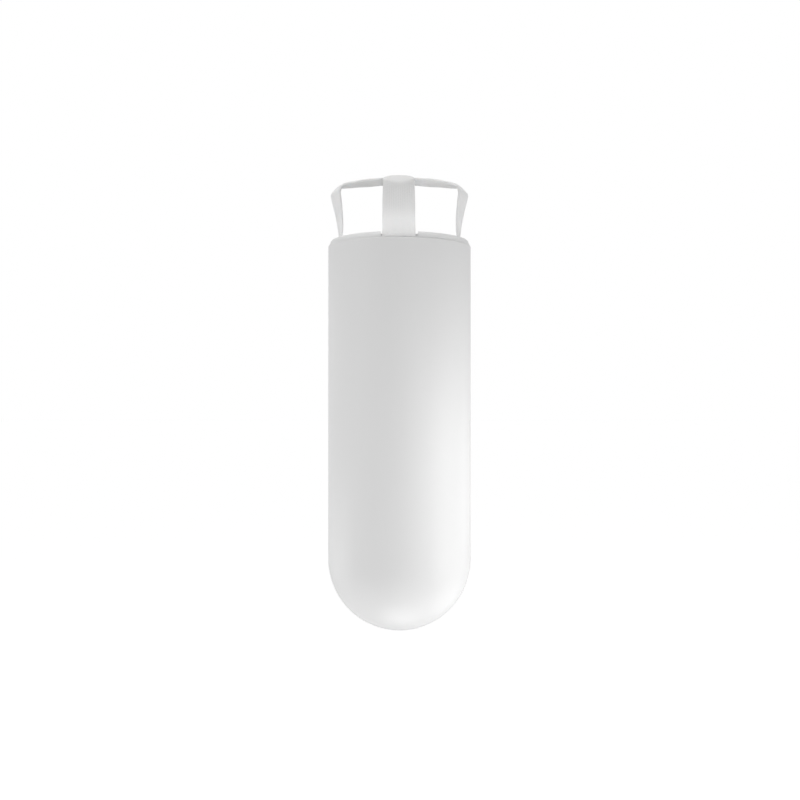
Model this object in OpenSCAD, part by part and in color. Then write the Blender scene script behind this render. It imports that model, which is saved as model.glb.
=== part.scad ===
// Wall-hung fire blanket: a round-ended case with a rolled blanket inside and
// a handle of two crossing webbing loops on top.
// Frame: +Z up, -Y towards the user, wall face at y = 0, origin midway between
// the two wall screw holes. Lengths in millimetres.

/* [Case] */
// outside radius of the case
case_r = 56; // [54:0.5:60]
// wall thickness of the case
case_wall = 3; // [2.6:0.1:3.4]
// height of the case from its lowest point to its rim
case_h = 300.5; // [290:0.5:320]
// height of the rim above the middle of the wall screws
rim_z = 100; // [90:1:115]
// rounding of the rim's outer edge
rim_round = 0.9; // [0.8:0.1:1.6]

/* [Collar and lid] */
// height that the collar ring stands above the rim
collar_h = 4.7; // [4:0.1:5.5]
// width of each strap notch in the collar
notch_w = 27.5; // [27:0.25:30]
// height of the notch floor above the rim
notch_floor = 0.8; // [0.4:0.1:1.2]
// thickness of the lid disc
lid_t = 2.5; // [2:0.1:3]
// thickness of the seal under the lid
seal_t = 1.0; // [0.8:0.1:1.2]

/* [Pull straps] */
// width of the webbing
strap_w = 25; // [24:0.5:26]
// thickness of the webbing
strap_t = 1.5; // [1.2:0.1:1.6]
// height of the loop corners above the rim
corner_h = 40.6; // [36:0.2:46]
// how far the legs lean outwards between rim and corner
lean = 7.1; // [5:0.1:7.5]
// height of the side-to-side loop's top above the rim
side_top_h = 52.4; // [52:0.1:54]
// drop of the side-to-side crossbar from its middle to the corner facet
side_drop = 4.8; // [4.4:0.1:6]
// drop of the front-to-back crossbar from its middle to the corner facet
front_drop = 5; // [4.4:0.1:6]
// length of each leg that runs down beside the roll
leg_down = 70; // [60:1:80]

/* [Blanket pack] */
// length of the rolled blanket
roll_len = 244; // [230:1:246]
// height of the roll's top under the rim
roll_gap = 8; // [7:0.5:12]
// thickness of the reinforcing patches under the legs
patch_t = 1.05; // [0.8:0.05:1.1]

/* [Wall mount] */
// thickness of the wall plate
plate_t = 4; // [4:0.1:4.4]
// width of the wall plate
plate_w = 40; // [38:0.5:44]
// distance between the two wall screw holes
screw_gap = 116; // [112:1:124]
// radius of the wall screw holes
screw_hole_r = 2.25; // [2:0.05:2.5]
// length of the dovetail rail
rail_len = 64; // [60:1:68]
// width of the dovetail rail at its root
rail_root_w = 20; // [18:0.5:21]
// width of the dovetail rail at its front
rail_tip_w = 28; // [27:0.5:29]
// sliding clearance on each side of the dovetail
rail_gap = 0.25; // [0.15:0.05:0.4]

/* [Hidden] */

$fn = 96;
eps = 0.01; // overlap between joined shapes
gap = 0.05; // clearance between touching pieces

// case and collar
stand_off = 16.5; // from the wall to the back of the case
axis_y = -(stand_off + case_r);
case_in = case_r - case_wall;
ball_z = rim_z - case_h + case_r; // centre of the round end
collar_r = case_r - 0.8;
collar_in = case_r - 5;
ledge_in = case_r - 7;
bead_z = -9.5; // underside of the snap bead, from the rim
bead_h = 1;

// straps, patches and roll, from the outside in
leg_r = case_r - 9.1; // outer face of the upright legs
patch_r = leg_r - strap_t - 0.1;
roll_r = patch_r - patch_t - 0.05;
roll_bot = rim_z - roll_gap - roll_len;
roll_round = 3;
binding_angle = 45; // between two straps
leg_end_z = rim_z - leg_down;
front_top_h = side_top_h - strap_t - 0.15; // passes under the side-to-side loop
flat_r = strap_w / 2 + 0.1; // half-length of the crossbars' flat middle
thread_w = 0.6;

// rail, saddle and its screws
rail_d = 7;
rail_front_y = -plate_t - rail_d;
saddle_lo = -34;
saddle_hi = rail_len / 2 + 10;
saddle_screw_angle = 18; // either side of straight back
saddle_screw_zs = [-24, rail_len / 2];

// latch spring, whose nose catches in the rail
spring_y = rail_front_y - 0.9; // face towards the wall
spring_t = 0.6;
spring_w = 9;
nose_top = -17.2;
nose_bottom = -22.4;
rivet_z = 10;
rivet_r = 1.5;

// ---- placing and shaping helpers ----
module at_axis() { translate([0, axis_y, 0]) children(); }

// something built around +X at the case axis, copied to the four strap sides
module four_ways() { for (a = [0 : 90 : 270]) rotate([0, 0, a]) children(); }

// from the case axis, +Z turned to point along each saddle screw towards the wall
module screw_ways() {
  for (z = saddle_screw_zs, s = [-1, 1]) translate([0, 0, z])
    rotate([0, 0, 90 + s * saddle_screw_angle]) rotate([0, 90, 0]) children();
}

// profile in x and z, drawn along y about the middle
module along_y(width) {
  rotate([90, 0, 0]) linear_extrude(height = width, center = true) children();
}

// profile in y and z, drawn along x about the middle
module along_x(width) {
  translate([-width / 2, 0, 0]) rotate([90, 0, 90]) linear_extrude(height = width) children();
}

module disc(radius, bottom, height) {
  translate([0, 0, bottom]) cylinder(r = radius, h = height);
}

module ring(inner_r, outer_r, bottom, height) {
  translate([0, 0, bottom]) difference() {
    cylinder(r = outer_r, h = height);
    disc(inner_r, -1, height + 2);
  }
}

// section of rail or slot: straight from root_y to the plate's front, then flaring to tip_y
module dovetail(root_half, tip_half, root_y, tip_y) {
  polygon([[-root_half, root_y], [root_half, root_y], [root_half, -plate_t],
    [tip_half, tip_y], [-tip_half, tip_y], [-root_half, -plate_t]]);
}

// ---- wall mount ----
module plate_body() {
  half_w = plate_w / 2;
  chamfer = 1;
  end_inset = 3; // from a screw hole to the centre of the round end
  translate([0, 0, end_inset - screw_gap / 2])
    linear_extrude(height = screw_gap - 2 * end_inset)
      polygon([[-half_w, 0], [half_w, 0], [half_w, chamfer - plate_t],
        [half_w - chamfer, -plate_t], [chamfer - half_w, -plate_t],
        [-half_w, chamfer - plate_t]]);
  for (s = [-1, 1]) translate([0, 0, s * (screw_gap / 2 - end_inset)]) rotate([90, 0, 0]) {
    cylinder(r = half_w, h = plate_t - chamfer);
    translate([0, 0, plate_t - chamfer])
      cylinder(r1 = half_w, r2 = half_w - chamfer, h = chamfer);
  }
}

module wall_plate() {
  sink_d = 2.3; // depth of the countersinks
  sink_cut = 2.4; // cutter height and widening
  catch_w = spring_w + 3;
  catch_d = 2.4;
  catch_bottom = nose_bottom - 0.5;
  color("gainsboro") difference() {
    union() {
      plate_body();
      translate([0, 0, -rail_len / 2]) linear_extrude(height = rail_len)
        dovetail(rail_root_w / 2, rail_tip_w / 2, -plate_t + 0.5, rail_front_y);
    }
    for (s = [-1, 1]) translate([0, 1, s * screw_gap / 2]) rotate([90, 0, 0]) {
      cylinder(r = screw_hole_r, h = plate_t + 2);
      translate([0, 0, 1 + plate_t - sink_d])
        cylinder(r1 = screw_hole_r, r2 = screw_hole_r + sink_cut, h = sink_cut);
    }
    // catch for the latch spring's nose
    translate([-catch_w / 2, rail_front_y - 1, catch_bottom])
      cube([catch_w, catch_d + 1, nose_top + 0.2 - catch_bottom]);
    // lead-in at the rail's upper end
    along_x(2 * rail_tip_w)
      polygon([[rail_front_y - 1, rail_len / 2 - 4.2],
        [-plate_t - rail_d / 3, rail_len / 2 + 0.1],
        [rail_front_y - 1, rail_len / 2 + 0.1]]);
  }
}

// ---- case ----
module case_shell() {
  groove_side = 0.3; // clearance above and below the bead
  groove_d = 0.45;
  color("whitesmoke") at_axis() difference() {
    union() {
      translate([0, 0, ball_z]) sphere(r = case_r);
      disc(case_r, ball_z, rim_z - ball_z - rim_round);
      disc(case_r - rim_round, rim_z - rim_round, rim_round);
      translate([0, 0, rim_z - rim_round]) rotate_extrude()
        intersection() {
          translate([case_r - rim_round, 0]) circle(r = rim_round);
          translate([case_in, 0]) square([case_wall, rim_round]);
        }
    }
    translate([0, 0, ball_z]) sphere(r = case_in);
    disc(case_in, ball_z, case_h);
    // groove for the collar's snap bead
    disc(case_in + groove_d, rim_z + bead_z - groove_side, bead_h + 2 * groove_side);
    // clearance holes for the saddle screws
    screw_ways() disc(2.2, case_in - 3, 8);
  }
}

module collar_ring() {
  round_r = min(4, collar_h - 0.5);
  fit_r = case_in - gap; // outside of the parts within the case
  ledge_t = 3;
  skirt_in = case_r - 5.1;
  skirt_h = 12;
  color("whitesmoke") at_axis() difference() {
    translate([0, 0, rim_z]) rotate_extrude() {
      // standing part with a rounded outer edge
      translate([collar_in, gap]) square([collar_r - collar_in, collar_h - round_r - gap]);
      intersection() {
        translate([collar_in, collar_h - round_r - eps]) square([case_r, round_r + 1]);
        translate([collar_r - round_r, collar_h - round_r]) circle(r = round_r);
      }
      // ledge for the seal, joined to the standing part
      translate([ledge_in, -ledge_t]) square([fit_r - ledge_in, ledge_t]);
      translate([collar_in, -eps]) square([fit_r - collar_in, gap + 2 * eps]);
      // skirt inside the case, with its snap bead
      translate([skirt_in, -skirt_h]) square([fit_r - skirt_in, skirt_h - ledge_t + eps]);
      translate([fit_r - eps, bead_z]) square([0.3, bead_h]);
    }
    // strap notches
    for (a = [0, 90]) translate([0, 0, rim_z]) rotate([0, 0, a])
      translate([-case_r, -notch_w / 2, notch_floor]) cube([2 * case_r, notch_w, collar_h + 2]);
  }
}

module lid_seal() {
  color("lightgray") at_axis()
    ring(ledge_in + 0.2, collar_in - 0.2, rim_z + gap / 2, seal_t - gap / 2);
}

module top_lid() {
  lid_z = rim_z + seal_t + gap;
  rib_h = 1.6;
  dish_d = 0.8;
  color("gainsboro") at_axis() difference() {
    union() {
      disc(collar_in - 0.2, lid_z, lid_t);
      disc(roll_r - 0.7, lid_z - rib_h, rib_h + 0.1);
    }
    // shallow dish in the top
    disc(roll_r - 4, lid_z + lid_t - dish_d, 2);
    // hollow that leaves a round rib underneath
    disc(roll_r - 3.2, lid_z - rib_h - 1, rib_h + 1);
    // slots for the strap legs
    four_ways() translate([leg_r - strap_t - 0.7, -strap_w / 2 - 1, lid_z - 1])
      cube([20, strap_w + 2, lid_t + 2]);
  }
}

module base_cushion() {
  color("silver") at_axis() intersection() {
    translate([0, 0, ball_z]) sphere(r = case_in - 0.1);
    translate([-case_r, -case_r, roll_bot - gap - case_r]) cube([2 * case_r, 2 * case_r, case_r]);
  }
}

// ---- saddle that joins the case to the rail ----
module saddle_section() {
  back_y = -plate_t - 0.4; // face towards the wall plate
  half_w = 24;
  front_y = -24;
  round_r = 3;
  difference() {
    union() {
      translate([-half_w, front_y]) square([2 * half_w, back_y - round_r - front_y]);
      translate([round_r - half_w, back_y - round_r - 0.1])
        square([2 * (half_w - round_r), round_r + 0.1]);
      for (s = [-1, 1]) translate([s * (half_w - round_r), back_y - round_r])
        circle(r = round_r);
    }
    translate([0, axis_y]) circle(r = case_r + gap);
  }
}

module rear_saddle() {
  pocket_w = spring_w + 2;
  pocket_top = 4;
  color("gainsboro") difference() {
    translate([0, 0, saddle_lo]) linear_extrude(height = saddle_hi - saddle_lo)
      saddle_section();
    // chamfers at the upper and lower ends, next to the wall
    for (z = [saddle_lo, saddle_hi])
      translate([-30, -plate_t - 4.4, z]) rotate([-45, 0, 0]) cube([60, 20, 20]);
    // dovetail slot, open at the bottom and stopped at the top
    translate([0, 0, saddle_lo - 1])
      linear_extrude(height = rail_len / 2 + gap - saddle_lo + 1)
        dovetail(rail_root_w / 2 + rail_gap, rail_tip_w / 2 + rail_gap + 0.17,
          -plate_t + 1, rail_front_y - 0.3);
    // pocket in which the latch spring bends
    translate([-pocket_w / 2, rail_front_y - 3.3, saddle_lo - 1])
      cube([pocket_w, 4, pocket_top - saddle_lo + 1]);
    // seat for the spring's riveted end
    translate([-pocket_w / 2, spring_y - spring_t - gap, pocket_top - 1])
      cube([pocket_w, 2, 15]);
    // rivet hole
    translate([0, spring_y - 0.1, rivet_z]) rotate([90, 0, 0])
      cylinder(r = rivet_r + gap, h = 4.2);
    // pilot holes for the saddle screws
    at_axis() screw_ways() disc(2.03, case_r - 1, 9.4);
  }
}

module saddle_screws() {
  color("silver") at_axis() screw_ways() difference() {
    union() {
      disc(3.6, case_in - 3.35, 2.3); // head
      disc(2, case_in - 1.2, 12.2); // shank
    }
    // hexagonal socket
    translate([0, 0, case_in - 3.4]) cylinder(r = 1.45, h = 1.3, $fn = 6);
  }
}

module saddle_washers() {
  color("silver") at_axis() screw_ways() ring(2.15, 4.8, case_in - 1.03, 0.78);
}

module latch_spring() {
  tail_z = -46;
  tail_r = 0.9; // rounded lower end
  leaf_len = 62;
  color("lightsteelblue") difference() {
    union() {
      translate([-spring_w / 2, spring_y - spring_t, tail_z])
        cube([spring_w, spring_t, leaf_len]);
      translate([-spring_w / 2, spring_y - spring_t + tail_r, tail_z]) rotate([0, 90, 0])
        cylinder(r = tail_r, h = spring_w);
      // nose with a flat catching face above and a ramp below
      along_x(spring_w)
        polygon([[spring_y - 0.3, nose_top], [spring_y + 2.5, nose_top],
          [spring_y + 2.9, nose_top - 0.8], [spring_y - 0.3, nose_bottom]]);
    }
    translate([0, spring_y + 1, rivet_z]) rotate([90, 0, 0])
      cylinder(r = rivet_r + gap, h = 3);
  }
}

module spring_rivet() {
  head_t = 0.4;
  color("silver") translate([0, spring_y + gap, rivet_z]) rotate([90, 0, 0]) {
    disc(2.7, -head_t, head_t);
    cylinder(r = rivet_r, h = 4.1);
  }
}

// ---- blanket pack ----
module blanket_roll() {
  color("ivory") at_axis() translate([0, 0, roll_bot]) rotate_extrude() {
    square([roll_r - roll_round, roll_len]);
    translate([0, roll_round]) square([roll_r, roll_len - 2 * roll_round]);
    for (z = [roll_round, roll_len - roll_round])
      translate([roll_r - roll_round, z]) circle(r = roll_round);
  }
}

module edge_binding() {
  width = 16;
  color("white") at_axis() rotate([0, 0, binding_angle]) intersection() {
    ring(roll_r + gap, roll_r + 0.85, roll_bot + roll_round, roll_len - 2 * roll_round);
    translate([0, -width / 2, roll_bot]) cube([case_r, width, roll_len]);
  }
}

// two rows of stitches along the binding
module edge_stitching() {
  count = 20;
  end_margin = 8;
  pitch = (roll_len - 2 * end_margin) / count;
  row_y = 5.5;
  color("silver") at_axis() rotate([0, 0, binding_angle])
    for (k = [0 : count - 1], s = [-1, 1])
      translate([roll_r + 0.45, s * row_y - thread_w / 2, roll_bot + end_margin + k * pitch])
        cube([0.55, thread_w, pitch - 3]);
}

// ---- pull straps ----
function unit(v) = v / norm(v);
function towards(from, to, dist) = from + dist * unit(to - from);

// left-hand normal of the path's segment i
function normal(path, i) = let (dir = unit(path[i + 1] - path[i])) [-dir[1], dir[0]];

// point i of the path, moved dist to the left with mitred corners
function shifted(path, i, dist) =
  i == 0 ? path[0] + dist * normal(path, 0) :
  i == len(path) - 1 ? path[i] + dist * normal(path, i - 1) :
  let (before = normal(path, i - 1), mitre = unit(before + normal(path, i)))
    path[i] + dist / (mitre * before) * mitre;

// quadratic curve from start to end, pulled towards the corner, in the given steps
function bend(start, corner, end, steps) =
  [for (k = [0 : steps]) let (t = k / steps)
    (1 - t) * (1 - t) * start + 2 * t * (1 - t) * corner + t * t * end];

function backwards(path) = [for (i = [len(path) - 1 : -1 : 0]) path[i]];

// point on a crossbar's upper face at a radius: flat where the loops cross,
// then falling by drop to the corner facet, with bow as the power of the curve
function bar_point(radius, top_h, drop, bow) =
  [radius, rim_z + top_h
    - drop * pow(max(0, radius - flat_r) / (leg_r - 0.3 - flat_r), bow)];

// one half of a loop's outer face, from the leg's lower end to the flat of the crossbar
function half_loop(top_h, facet_r, drop, bow) = let (
    knee = [leg_r, rim_z - 1],
    corner = [leg_r + lean, rim_z + corner_h],
    facet = bar_point(facet_r, top_h, drop, bow),
    inward = bar_point(facet_r - 8, top_h, drop, bow),
    bar_r = facet_r - 3,
    steps = 9)
  concat([[leg_r, leg_end_z]],
    bend(towards(knee, leg_down_point(), 6), knee, towards(knee, corner, 6), 6),
    bend(towards(corner, knee, 2.4), corner, towards(corner, facet, 2.4), 6),
    bend(towards(facet, corner, 1.6), facet, towards(facet, inward, 1.6), 4),
    [for (k = [0 : steps])
      bar_point(bar_r + (flat_r - bar_r) * k / steps, top_h, drop, bow)]);

function leg_down_point() = [leg_r, leg_end_z];

// webbing loop in x and z, drawn along y
module strap_loop(top_h, facet_r, drop, bow) {
  half = half_loop(top_h, facet_r, drop, bow);
  path = concat(half, [for (p = backwards(half)) [-p[0], p[1]]]);
  inner = [for (i = [0 : len(path) - 1]) shifted(path, i, strap_t)];
  along_y(strap_w) polygon(concat(path, backwards(inner)));
}

module pull_strap_side() {
  color("white") at_axis() strap_loop(side_top_h, leg_r - 0.7, side_drop, 2.6);
}

module pull_strap_front() {
  color("white") at_axis() rotate([0, 0, 90])
    strap_loop(front_top_h, leg_r + 0.6, front_drop, 3.3);
}

module anchor_patches() {
  width = 32;
  below = 6; // how far a patch reaches below its leg
  color("white") at_axis() four_ways() intersection() {
    ring(roll_r + gap, patch_r, leg_end_z - below, leg_down - 6);
    translate([0, -width / 2, leg_end_z - below]) cube([case_r, width, leg_down]);
  }
}

// box-and-cross seam: width along y, height along z, depth along x
module box_cross(width, height, depth) {
  inner_w = width - thread_w;
  inner_h = height - thread_w;
  for (s = [-1, 1]) {
    translate([0, s * inner_w / 2, 0]) cube([depth, thread_w, height], center = true);
    translate([0, 0, s * inner_h / 2]) cube([depth, width, thread_w], center = true);
    rotate([s * atan2(inner_w, inner_h), 0, 0])
      cube([depth, thread_w, norm([inner_w, inner_h])], center = true);
  }
}

module anchor_stitching() {
  inner_r = roll_r - 0.6;
  outer_r = leg_r + 0.3;
  color("silver") at_axis() four_ways()
    translate([(inner_r + outer_r) / 2, 0, leg_end_z + 16])
      box_cross(18, 24, outer_r - inner_r);
}

module crossing_stitch() {
  proud = 0.3; // beyond the straps, above and below
  color("silver") at_axis() intersection() {
    translate([0, 0, rim_z + front_top_h - 2]) rotate([0, 90, 0]) box_cross(17, 17, 9);
    // from just over the upper strap to just under the lower one
    translate([-15, -15, rim_z + front_top_h - strap_t - proud])
      cube([30, 30, side_top_h - front_top_h + strap_t + 2 * proud]);
  }
}

wall_plate();
case_shell();
collar_ring();
lid_seal();
top_lid();
base_cushion();
rear_saddle();
saddle_screws();
saddle_washers();
latch_spring();
spring_rivet();
blanket_roll();
edge_binding();
edge_stitching();
pull_strap_side();
pull_strap_front();
anchor_patches();
anchor_stitching();
crossing_stitch();
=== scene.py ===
"""A round upright case with a rolled glass-fibre blanket in it and two webbing loops over its lid.

The case's axis stands along +Z at (AXIS_X, AXIS_Y), its bowl-shaped base down. The front faces -Y
and right is +X. The side loop has its legs to the right and left and the front loop at the front
and back. They cross over the axis. CAD positions are in metres, and new pieces in millimetres.
"""
import math

import bpy
import numpy as np
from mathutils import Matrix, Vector


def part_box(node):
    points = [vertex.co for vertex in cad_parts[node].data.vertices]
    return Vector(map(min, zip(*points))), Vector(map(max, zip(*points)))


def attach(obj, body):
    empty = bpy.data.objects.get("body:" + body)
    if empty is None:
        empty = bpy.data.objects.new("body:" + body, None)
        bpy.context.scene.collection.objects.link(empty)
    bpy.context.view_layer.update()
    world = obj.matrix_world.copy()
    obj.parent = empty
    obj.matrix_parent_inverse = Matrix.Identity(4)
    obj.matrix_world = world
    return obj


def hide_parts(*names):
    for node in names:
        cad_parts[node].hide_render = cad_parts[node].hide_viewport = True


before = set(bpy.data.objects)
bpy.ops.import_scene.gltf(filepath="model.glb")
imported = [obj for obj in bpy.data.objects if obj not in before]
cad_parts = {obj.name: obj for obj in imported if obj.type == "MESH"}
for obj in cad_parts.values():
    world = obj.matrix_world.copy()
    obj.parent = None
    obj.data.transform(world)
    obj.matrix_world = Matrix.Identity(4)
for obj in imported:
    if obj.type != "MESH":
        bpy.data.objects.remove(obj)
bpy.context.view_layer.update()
MILLI = 0.001

# ---------------------------------------------------------------- driving dimensions
case_low, case_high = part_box("case_shell")
side_low, side_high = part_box("pull_strap_side")
front_low, front_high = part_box("pull_strap_front")
roll_low, roll_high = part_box("blanket_roll")
patch_low, patch_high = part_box("anchor_patches")
bind_low, bind_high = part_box("edge_binding")
cushion_low, cushion_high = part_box("base_cushion")

# metres
AXIS_X = (case_low.x + case_high.x) / 2
AXIS_Y = (case_low.y + case_high.y) / 2

# millimetres; strap heights are measured from the rim
AXIS = np.array([AXIS_X / MILLI, AXIS_Y / MILLI, 0.0])
UP = np.array([0, 0, 1.0])
CASE_R = (case_high.x - case_low.x) / 2 / MILLI
RIM = case_high.z / MILLI
SIDE_TOP = side_high.z / MILLI - RIM
FRONT_TOP = front_high.z / MILLI - RIM
LEG_DOWN = RIM - side_low.z / MILLI
LEG_R = CASE_R - 9.1
CORNER_R = (side_high.x - side_low.x) / 2 / MILLI
CORNER_H = 40.6
STRAP_W = (side_high.y - side_low.y) / MILLI
STRAP_T = 1.5
FLAT_R = STRAP_W / 2 + 0.1  # reach of the flat crossing at the crown
ROLL_R = (roll_high.x - roll_low.x) / 2 / MILLI
ROLL_BOTTOM = roll_low.z / MILLI
ROLL_TOP = roll_high.z / MILLI
PATCH_R = (patch_high.x - patch_low.x) / 2 / MILLI
PATCH_BOTTOM = patch_low.z / MILLI
PATCH_TOP = patch_high.z / MILLI
BIND_BOTTOM = bind_low.z / MILLI
BIND_TOP = bind_high.z / MILLI
BIND_AZIMUTH = math.pi / 4
rng = np.random.default_rng(7)


# ---------------------------------------------------------------- node helpers
def feed(tree, source, socket):
    """Link a Value to an input socket, or set a plain number on it."""
    if isinstance(source, Value):
        tree.links.new(source.socket, socket)
    else:
        socket.default_value = source


def math_op(kind, swapped=False):
    """A Value method that adds one math node."""
    def method(*inputs):
        tree = inputs[0].tree
        node = tree.nodes.new("ShaderNodeMath")
        node.operation = kind
        for i, source in enumerate(inputs[::-1] if swapped else inputs):
            feed(tree, source, node.inputs[i])
        return Value(tree, node.outputs[0])
    return method


class Value:
    """A value in a node tree, with arithmetic that adds math nodes."""

    def __init__(self, tree, socket):
        self.tree = tree
        self.socket = socket

    __add__ = math_op("ADD")
    __sub__ = math_op("SUBTRACT")
    __rsub__ = math_op("SUBTRACT", swapped=True)
    __mul__ = math_op("MULTIPLY")
    __truediv__ = math_op("DIVIDE")
    __pow__ = math_op("POWER")
    sin = math_op("SINE")
    abs = math_op("ABSOLUTE")
    floor = math_op("FLOOR")
    frac = math_op("FRACT")
    mod = math_op("FLOORED_MODULO")
    max = math_op("MAXIMUM")
    above = math_op("GREATER_THAN")

    def smooth(self, low, high):
        """A smooth step from 0 at low to 1 at high."""
        node = self.tree.nodes.new("ShaderNodeMapRange")
        node.interpolation_type = "SMOOTHSTEP"
        self.tree.links.new(self.socket, node.inputs[0])
        node.inputs[1].default_value = low
        node.inputs[2].default_value = high
        return Value(self.tree, node.outputs[0])

    def swing(self, by, middle=0.5):
        """The value's distance from its middle, scaled."""
        return (self - middle) * by

    def cells(self, pitch):
        """Cell number, and place in the cell from -0.5 to 0.5."""
        return (self / pitch).floor(), (self / pitch).frac() - 0.5

    def crown(self, power):
        """1 in the middle of a cell, falling to 0 at its borders."""
        return 1.0 - (self * 2.0) ** power


class Material:
    """A Principled material under construction."""

    def __init__(self, name):
        self.material = bpy.data.materials.new(name)
        self.material.use_nodes = True
        self.tree = self.material.node_tree
        self.tree.nodes.clear()
        output = self.tree.nodes.new("ShaderNodeOutputMaterial")
        shader = self.tree.nodes.new("ShaderNodeBsdfPrincipled")
        self.tree.links.new(shader.outputs[0], output.inputs[0])
        self.inputs = shader.inputs
        self.coords = self.tree.nodes.new("ShaderNodeTexCoord").outputs

    def split(self, vector):
        node = self.tree.nodes.new("ShaderNodeSeparateXYZ")
        self.tree.links.new(vector, node.inputs[0])
        return [Value(self.tree, node.outputs[i]) for i in range(3)]

    def xyz(self, kind="Object"):
        return self.split(self.coords[kind])

    def normal_z(self):
        node = self.tree.nodes.new("ShaderNodeNewGeometry")
        return self.split(node.outputs["Normal"])[2]

    def combine(self, x, y, z):
        node = self.tree.nodes.new("ShaderNodeCombineXYZ")
        for i, part in enumerate((x, y, z)):
            feed(self.tree, part, node.inputs[i])
        return node.outputs[0]

    def noise(self, scale=1.0, detail=3.0, rough=0.5, vector=None, seed=0.0):
        """3D noise, moved to its own place by the seed."""
        node = self.tree.nodes.new("ShaderNodeTexNoise")
        node.inputs["Scale"].default_value = scale
        node.inputs["Detail"].default_value = detail
        node.inputs["Roughness"].default_value = rough
        mapping = self.tree.nodes.new("ShaderNodeMapping")
        self.tree.links.new(vector or self.coords["Object"], mapping.inputs[0])
        mapping.inputs["Location"].default_value = (seed, seed * 1.7, seed * 0.6)
        self.tree.links.new(mapping.outputs[0], node.inputs["Vector"])
        return Value(self.tree, node.outputs[0])

    def voronoi(self, scale):
        node = self.tree.nodes.new("ShaderNodeTexVoronoi")
        node.inputs["Scale"].default_value = scale
        self.tree.links.new(self.coords["Object"], node.inputs["Vector"])
        return Value(self.tree, node.outputs["Distance"])

    def grey(self, value, blue=1.0):
        """Base colour: the value as a grey, with its blue scaled."""
        node = self.tree.nodes.new("ShaderNodeCombineColor")
        for i, scale in enumerate((1.0, 1.0, blue)):
            self.tree.links.new((value * scale).socket, node.inputs[i])
        self.tree.links.new(node.outputs[0], self.inputs["Base Color"])

    def rough(self, value):
        self.tree.links.new(value.socket, self.inputs["Roughness"])

    def bump(self, height, distance, strength):
        """Relief; distance is in metres."""
        node = self.tree.nodes.new("ShaderNodeBump")
        node.inputs["Distance"].default_value = distance
        node.inputs["Strength"].default_value = strength
        self.tree.links.new(height.socket, node.inputs["Height"])
        self.tree.links.new(node.outputs[0], self.inputs["Normal"])

    def set(self, **values):
        for name, value in values.items():
            self.inputs[name.replace("_", " ")].default_value = value


# ---------------------------------------------------------------- materials
# Tone, roughness and relief are sums: each factor is how far a texture moves the result, and the
# last term is the base. Factors on coordinates are frequencies along each axis.
def plastic(name, tone, rough, grain_scale, seed):
    """Moulded satin plastic: fine grain, faint streaks, hairline scratches, dust on top faces."""
    mat = Material(name)
    broad = mat.noise(scale=11, rough=0.55, seed=seed)
    grain = mat.noise(scale=grain_scale, rough=0.6, seed=seed + 3)
    peel = mat.noise(scale=150, detail=2, seed=seed + 1)
    x, y, z = mat.xyz()
    streak = mat.noise(rough=0.6, vector=mat.combine(x * 70, y * 70, z * 5), seed=seed + 5)
    slanted = mat.combine(x * 60 + z * 22, y * 60, z * 1900 + x * 320)
    scratch = mat.noise(detail=2, rough=0.7, vector=slanted, seed=seed + 8).smooth(0.70, 0.78)
    specks = mat.noise(scale=260, detail=4, rough=0.7, seed=seed + 2).smooth(0.42, 0.75)
    dust = mat.normal_z().smooth(0.75, 1.0) * specks
    clean = broad.swing(by=0.018) + streak.swing(by=0.010) + grain.swing(by=0.012) + tone
    mat.grey(clean - scratch * 0.012 - dust * 0.045)
    patchy = mat.noise(scale=38, detail=4, rough=0.6, seed=seed + 4)
    mat.rough(patchy.swing(by=0.12) + scratch * 0.08 + dust * 0.2 + rough)
    mat.bump(grain * 1.0 + peel * 0.8 - scratch * 0.35, distance=0.00003, strength=0.55)
    mat.set(Specular_IOR_Level=0.42)
    return mat.material


def metal(name, tone, rough, seed):
    """Metal brushed with fine lines across X, with dull spots."""
    mat = Material(name)
    x, y, z = mat.xyz()
    lines = mat.combine(x * 5200, y * 600, z * 600)
    brushed = mat.noise(detail=4, rough=0.7, vector=lines, seed=seed)
    spots = mat.noise(scale=420, detail=4, rough=0.7, seed=seed + 2).smooth(0.58, 0.8)
    mat.grey(brushed.swing(by=0.12) - spots * 0.10 + tone, blue=0.99)
    mat.rough(brushed.swing(by=0.22) + spots * 0.25 + rough)
    mat.bump(brushed, distance=0.00001, strength=0.5)
    mat.set(Metallic=1.0)
    return mat.material


def rubber(name):
    """Pale silicone: soft, slightly dusty, with a faint moulding texture."""
    mat = Material(name)
    fine = mat.noise(scale=2600, rough=0.6, seed=3.0)
    dust = mat.noise(scale=140, detail=4, rough=0.6, seed=4.0)
    mat.grey(fine.swing(by=0.04) - dust.smooth(0.5, 0.8) * 0.06 + 0.70, blue=0.99)
    mat.rough(dust.swing(by=0.2) + 0.6)
    mat.bump(fine, distance=0.00002, strength=0.6)
    return mat.material


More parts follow.
